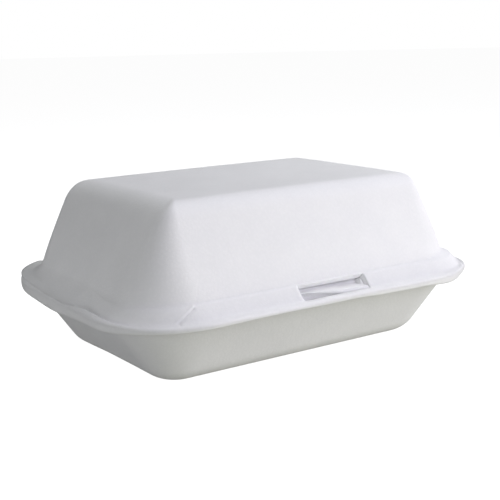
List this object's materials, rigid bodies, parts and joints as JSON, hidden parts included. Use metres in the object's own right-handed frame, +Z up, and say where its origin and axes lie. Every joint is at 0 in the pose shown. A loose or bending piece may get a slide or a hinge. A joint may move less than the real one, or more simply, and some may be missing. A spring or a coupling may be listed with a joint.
{
  "type": "foam clamshell food box",
  "caption": "Oblong white foam food box: a tapered tray and a domed lid on a thin fold along the back, with wide rims and a tongue-and-slot latch at the front.",
  "frame": {"origin": "middle of the outline over the rims, at the level of the table", "axes": "+X along the length, -Y towards the latch, +Y towards the hinge, +Z up"},
  "size_m": [0.185, 0.138, 0.0735],
  "materials": {
    "foam": "matte white expanded foam with a fine skin"
  },
  "bodies": {
    "base": {"base": "foam", "hinge": "foam"},
    "lid": {"lid": "foam"}
  },
  "joints": [
    {"name": "lid_hinge", "type": "hinge", "parent": "base", "child": "lid", "pos_m": [0, 0.0676, 0.0306], "axis": [-1, 0, 0], "range_deg": [0, 159], "deforming": ["hinge"]}
  ]
}
